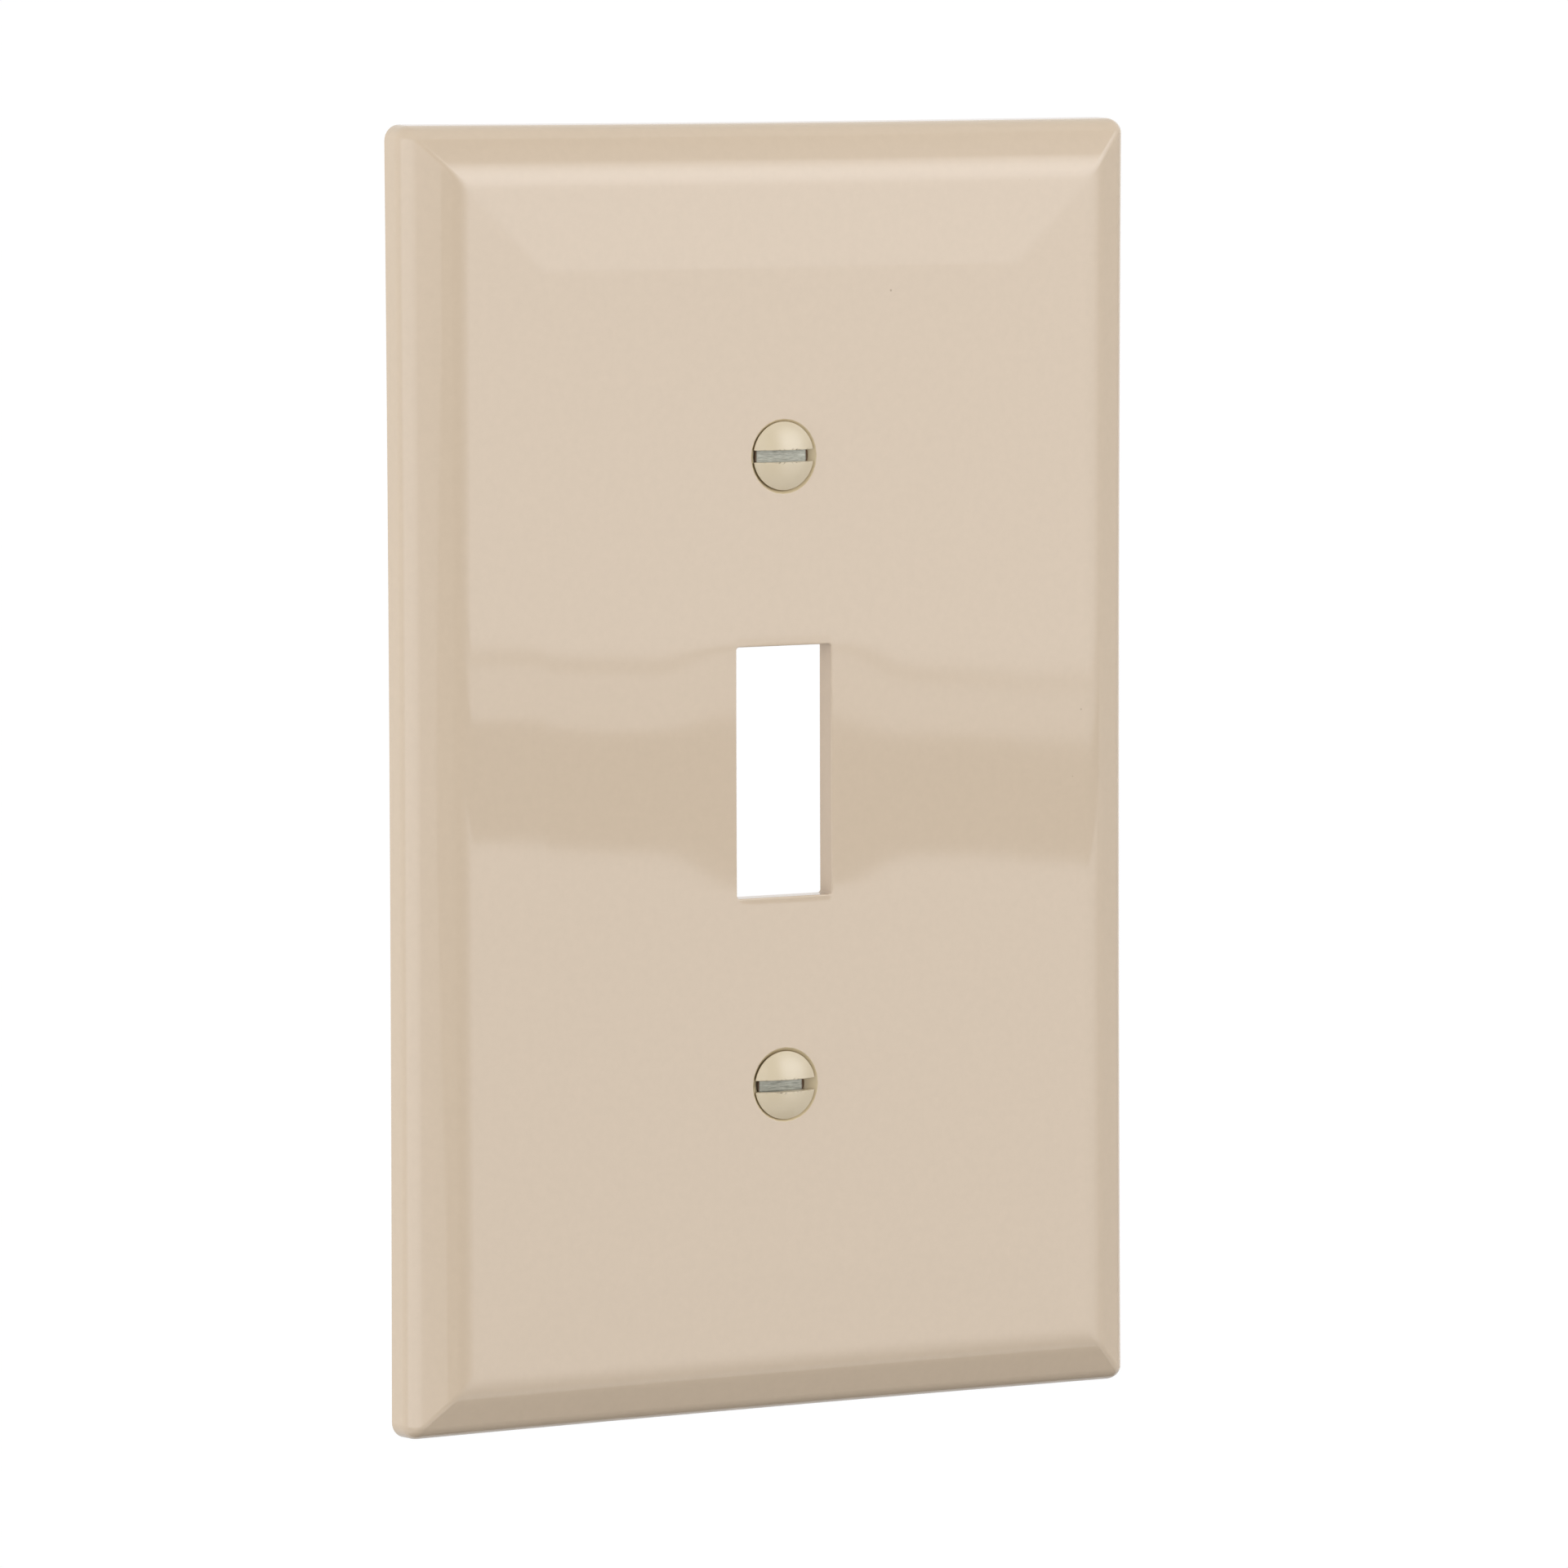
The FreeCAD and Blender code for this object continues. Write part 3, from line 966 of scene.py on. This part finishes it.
def plate_plastic(name, body, finishes, skin_group, shine):
    """Glossy moulded plastic with a faint mottle, rare specks, cast waves and a fine grain."""
    material, tree, shader = new_material(name)
    place = node(tree, "ShaderNodeTexCoord").outputs["Object"]
    skin = use_skin(tree, skin_group, place, mottle=1100.0, grain=5200.0, speck=240.0)
    mottle = spread(tree, skin.outputs["Mottle"], 0.3, 0.7, 0.0, 1.0)
    base = mixed(tree, mottle, shaded(body, 0.985), shaded(body, 1.015))
    base = mixed(tree, skin.outputs["Specks"], base, finishes.plastic_speck)
    join(tree, base, shader.inputs["Base Color"])
    cloud = noise(tree, place, scale=45.0, detail=2.0, roughness=0.5)
    join(tree, spread(tree, cloud, 0.3, 0.7, 0.02, 0.035), shader.inputs["Roughness"])
    shader.inputs["IOR"].default_value = 1.52
    shader.inputs["Specular IOR Level"].default_value = shine
    swell = noise(tree, place, scale=55.0, detail=1.0, roughness=0.4)
    waves = bumped(tree, swell, distance=1e-5, strength=1.0)
    fine = bumped(tree, skin.outputs["Grain"], distance=8e-8, strength=1.0, below=waves)
    join(tree, fine, shader.inputs["Normal"])
    return material


def screw_finish(finishes, skin_group):
    """Painted head over zinc plating, which shows bare in the slot and on the shank, with painted
    shade at the ends of the slot's floor.
    """
    material, tree, shader = new_material("screw_finish")
    place = node(tree, "ShaderNodeTexCoord").outputs["Object"]
    # The paint attribute: 1 painted, 0 bare, -1 painted shade at the ends of the slot's floor
    cover = node(tree, "ShaderNodeAttribute", attribute_name="paint_cover").outputs["Fac"]
    skin = use_skin(tree, skin_group, place, mottle=1500.0, grain=6000.0, speck=900.0)
    ragged = node(tree, "ShaderNodeMath", operation="MULTIPLY_ADD")
    join(tree, skin.outputs["Mottle"], ragged.inputs[0])
    ragged.inputs[1].default_value = 0.3
    join(tree, cover, ragged.inputs[2])
    painted = spread(tree, ragged.outputs["Value"], 0.55, 0.8, 0.0, 1.0)
    paint = mixed(tree, skin.outputs["Mottle"], shaded(finishes.paint, 0.96), finishes.paint)
    stretch = node(tree, "ShaderNodeMapping")
    stretch.inputs["Scale"].default_value = (0.12, 1.0, 1.0)
    join(tree, place, stretch.inputs["Vector"])
    scratches = noise(tree, stretch.outputs["Vector"], scale=9000.0, detail=3.0, roughness=0.6)
    worn = spread(tree, scratches, 0.35, 0.65, 0.0, 1.0)
    zinc = mixed(tree, worn, shaded(finishes.zinc, 0.7), shaded(finishes.zinc, 1.2))
    # Painted shade: the ends of the slot's floor turn near-black brown
    zinc = mixed(tree, spread(tree, cover, -0.7, -0.2, 1.0, 0.0), zinc, finishes.painted_slot_shade)
    join(tree, mixed(tree, painted, zinc, paint), shader.inputs["Base Color"])
    join(tree, spread(tree, painted, 0.0, 1.0, 0.85, 0.0), shader.inputs["Metallic"])
    join(tree, spread(tree, painted, 0.0, 1.0, 0.4, 0.23), shader.inputs["Roughness"])
    scored = bumped(tree, scratches, distance=1e-5, strength=0.4)
    join(tree, scored, shader.inputs["Normal"])
    return material


# ---- Operators --------------------------------------------------------------------------------


def shared_skin():
    return bpy.data.node_groups.get("moulded_skin") or moulded_skin_group()


class MakeCover(bpy.types.Operator):
    """Build the moulded cover in place of its plain solid"""

    bl_idname = "wall_plate.make_cover"
    bl_label = "Make Cover"

    def execute(self, context):
        sizes = context.scene.cover_sizes
        mesh = bmesh.new()
        ceiling_in = cover_shell(mesh, sizes)
        ribs = cut_grid(mesh, sizes, ceiling_in)
        open_toggle(mesh, sizes)
        for at_z in SCREW_HEIGHTS.values():
            screw_hole(mesh, sizes, at_z)
        raise_ribs(mesh, sizes, *ribs)
        relax_mould(mesh, sizes)
        finishes = context.scene.finishes
        skin = shared_skin()
        materials = [
            plate_plastic("plate_plastic", finishes.plastic, finishes, skin, shine=0.5),
            # Painted light: a lighter, more saturated copy of the plastic for the screw seats
            plate_plastic("seat_plastic", finishes.seat, finishes, skin, shine=0.2),
            # Painted shade: a darker copy of the plastic for the walls of the toggle opening
            plate_plastic("wall_plastic", finishes.opening, finishes, skin, shine=0.3),
        ]
        mark_recesses(mesh, sizes)
        piece = finish_piece(mesh, "moulded_cover", materials, SHARP_DEGREES)
        soften(piece, sizes.edge_radius, segments=2)
        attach(piece, "plate")
        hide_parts("wall_plate")
        return {"FINISHED"}


class MakeScrews(bpy.types.Operator):
    """Build the two slotted screws in place of their plain solids"""

    bl_idname = "wall_plate.make_screws"
    bl_label = "Make Screws"

    def execute(self, context):
        sizes = context.scene.screw_sizes
        finish = screw_finish(context.scene.finishes, shared_skin())
        depths = {"screw_above": sizes.slot_depth_above, "screw_below": sizes.slot_depth_below}
        for body, depth in depths.items():
            make_screw(body, sizes, depth, [finish])
        return {"FINISHED"}


def stage_card(name, place, aim, size, material):
    """A flat card that faces a point, seen by the lights and reflections but not by the camera."""
    mesh = bmesh.new()
    bmesh.ops.create_grid(mesh, x_segments=1, y_segments=1, size=0.5)
    bmesh.ops.scale(mesh, vec=(*size, 1), verts=mesh.verts[:])
    card = put_in_scene(mesh, name, [material])
    card.location = place
    card.rotation_mode = "QUATERNION"
    card.rotation_quaternion = (Vector(aim) - Vector(place)).to_track_quat("Z", "Y")
    card.visible_camera = False


def glowing_material(name, up_stops, side_stops, gaps):
    """Light whose radiance follows (place, radiance) stops up the card and a share across it.

    Each gap is a crisp band across the card, as (low, high, edge, share of the light left).
    """
    material, tree, shader = new_material(name)
    tree.nodes.remove(shader)
    glow = node(tree, "ShaderNodeEmission")
    glow.inputs["Color"].default_value = LIGHT_COLOUR
    place = node(tree, "ShaderNodeSeparateXYZ")
    join(tree, node(tree, "ShaderNodeTexCoord").outputs["Object"], place.inputs["Vector"])
    strength = product(
        tree,
        stepped(tree, place.outputs["Y"], up_stops),
        stepped(tree, place.outputs["X"], side_stops),
    )
    leaning = node(tree, "ShaderNodeMath", operation="MULTIPLY_ADD")
    join(tree, place.outputs["X"], leaning.inputs[0])
    leaning.inputs[1].default_value = -GAP_LEAN
    join(tree, place.outputs["Y"], leaning.inputs[2])
    for low, high, edge, left in gaps:
        below = spread(tree, leaning.outputs["Value"], low, low + edge, 1.0, left)
        above = spread(tree, leaning.outputs["Value"], high - edge, high, 0.0, 1.0 - left)
        both = node(tree, "ShaderNodeMath", operation="ADD")
        join(tree, below, both.inputs[0])
        join(tree, above, both.inputs[1])
        strength = product(tree, strength, both.outputs["Value"])
    join(tree, strength, glow.inputs["Strength"])
    join(tree, glow.outputs["Emission"], tree.nodes["Material Output"].inputs["Surface"])
    return material


def stepped(tree, value, stops):
    """A value that runs straight between (place, value) stops."""
    low, high = stops[0][0], stops[-1][0]
    peak = max(stop[1] for stop in stops)
    share = spread(tree, value, low, high, 0.0, 1.0)
    ramp = node(tree, "ShaderNodeValToRGB")
    shades = ramp.color_ramp.elements
    while len(shades) < len(stops):
        shades.new(0.5)
    for shade, stop in zip(shades, stops):
        level = stop[1] / peak
        shade.position = (stop[0] - low) / (high - low)
        shade.color = (level, level, level, 1.0)
    join(tree, share, ramp.inputs["Fac"])
    scaled = node(tree, "ShaderNodeMath", operation="MULTIPLY")
    join(tree, ramp.outputs["Color"], scaled.inputs[0])
    scaled.inputs[1].default_value = peak
    return scaled.outputs["Value"]


def matt_material(name, shade):
    """A matt grey for the floor and the cards of the stage."""
    material, tree, shader = new_material(name)
    shader.inputs["Base Color"].default_value = (shade, shade, shade, 1.0)
    shader.inputs["Roughness"].default_value = 0.9
    shader.inputs["Specular IOR Level"].default_value = 0.0
    return material


class MakeStudio(bpy.types.Operator):
    """Set up the floor, the lights and the camera"""

    bl_idname = "wall_plate.make_studio"
    bl_label = "Make Studio"

    def execute(self, context):
        settings = context.scene.studio
        context.scene.view_settings.view_transform = "Standard"
        self.add_camera(context, settings)
        self.add_world(context, settings)
        self.add_floor(settings)
        self.add_lights()
        return {"FINISHED"}

    def add_camera(self, context, settings):
        data = bpy.data.cameras.new("camera")
        data.lens = settings.lens
        data.sensor_width = 36.0
        data.clip_end = 30.0
        camera = bpy.data.objects.new("camera", data)
        context.scene.collection.objects.link(camera)
        turn = Matrix.Rotation(settings.yaw, 4, "Z")
        turn = turn @ Matrix.Rotation(math.pi / 2 - settings.pitch, 4, "X")
        turn = turn @ Matrix.Rotation(settings.roll, 4, "Z")
        offset = Vector((settings.shift_right, settings.shift_up, settings.distance))
        camera.matrix_world = Matrix.Translation(turn @ offset) @ turn
        context.scene.camera = camera

    def add_world(self, context, settings):
        world = bpy.data.worlds.new("studio")
        context.scene.world = world
        world.use_nodes = True
        tree = world.node_tree
        background = tree.nodes["Background"]
        background.inputs["Color"].default_value = (1.0, 1.0, 1.0, 1.0)
        direction = node(tree, "ShaderNodeSeparateXYZ")
        join(tree, node(tree, "ShaderNodeTexCoord").outputs["Generated"], direction.inputs["Vector"])
        strength = spread(tree, direction.outputs["Z"], 0.3, 0.8, settings.sky, settings.zenith)
        join(tree, strength, background.inputs["Strength"])

    def add_floor(self, settings):
        mesh = bmesh.new()
        bmesh.ops.create_circle(mesh, cap_ends=True, segments=64, radius=settings.floor_radius)
        bmesh.ops.translate(mesh, vec=(0, 0, -settings.floor_drop), verts=mesh.verts[:])
        floor = put_in_scene(mesh, "floor", [matt_material("pale_floor", 0.82)])

    def add_lights(self):
        """A tall soft light with a dark gap, a side light, and dark cards that shape the bevels."""
        black = matt_material("black_card", 0.004)
        dark = matt_material("dark_card", 0.22)
        grey = matt_material("grey_card", 0.45)
        up_stops = [
            (-1.3, 0.0), (-0.9, 0.4), (-0.56, 1.2), (-0.30, 1.85), (-0.13, 1.9), (-0.08, 2.15),
            (-0.018, 2.2), (0.008, 2.25), (0.04, 2.85), (0.12, 2.95), (0.22, 3.6), (0.37, 4.1),
            (0.51, 4.2), (0.70, 3.7), (0.95, 2.3), (1.15, 0.9), (1.35, 0.0),
        ]
        side_stops = [
            (-1.08, 0.1), (-0.95, 0.35), (-0.6, 0.75), (-0.25, 1.0), (0.14, 1.0), (0.26, 0.6),
            (0.42, 0.2), (0.6, 0.0),
        ]
        gaps = [
            (-0.1165, -0.0915, 0.0008, 0.1), (-0.0915, -0.082, 0.0008, 0.75),
            (-0.082, -0.0775, 0.0012, 0.33),
        ]
        glow = glowing_material("tall_light", up_stops, side_stops, gaps)
        self.add_card("tall_light", 29.6, 0.0, LIGHT_DISTANCE, (2.2, 2.7), glow)
        across = [(-1.05, 0.3), (-0.9, 0.5), (-0.6, 0.8), (-0.15, 1.0), (0.65, 1.0), (1.05, 0.4)]
        side = glowing_material("side_light", [(-0.5, 2.35), (0.5, 2.35)], across, [])
        self.add_card("side_light", -66, 0.0, LIGHT_DISTANCE, (2.1, 1.0), side)
        self.add_card("camera_card", -14.5, -0.12, 1.5, (0.62, 0.5), dark)
        self.add_card("right_card", 92, -0.1, LIGHT_DISTANCE, (0.8, 0.9), grey)
        stage_card("low_card", (0.05, -0.03, -0.36), (0.05, -0.03, 0), (0.55, 0.42), black)

    def add_card(self, name, azimuth, height, distance, size, material):
        """A card that stands upright round the plate, turned towards it. The azimuth is in degrees."""
        around = math.radians(azimuth)
        place = (math.sin(around) * distance, -math.cos(around) * distance, height)
        stage_card(name, place, (0, 0, height), size, material)


class WallPlatePanel(bpy.types.Panel):
    """Sizes and finishes of the wall plate"""

    bl_idname = "VIEW3D_PT_wall_plate"
    bl_label = "Wall Plate"
    bl_space_type = "VIEW_3D"
    bl_region_type = "UI"
    bl_category = "Wall Plate"

    def draw(self, context):
        for name in SETTINGS:
            group = getattr(context.scene, name)
            box = self.layout.box()
            for key in group.__annotations__:
                box.prop(group, key)
        for operator in OPERATORS:
            self.layout.operator(operator.bl_idname)


SETTINGS = {
    "cover_sizes": CoverSizes,
    "screw_sizes": ScrewSizes,
    "finishes": Finishes,
    "studio": StudioSettings,
}
OPERATORS = [MakeCover, MakeScrews, MakeStudio]


def register():
    for name, group in SETTINGS.items():
        bpy.utils.register_class(group)
        setattr(bpy.types.Scene, name, PointerProperty(type=group))
    for operator in OPERATORS:
        bpy.utils.register_class(operator)
    bpy.utils.register_class(WallPlatePanel)


def unregister():
    bpy.utils.unregister_class(WallPlatePanel)
    for operator in OPERATORS:
        bpy.utils.unregister_class(operator)
    for name, group in SETTINGS.items():
        delattr(bpy.types.Scene, name)
        bpy.utils.unregister_class(group)


def main():
    register()
    bpy.ops.wall_plate.make_studio()
    bpy.ops.wall_plate.make_cover()
    bpy.ops.wall_plate.make_screws()


if __name__ == "__main__":
    main()
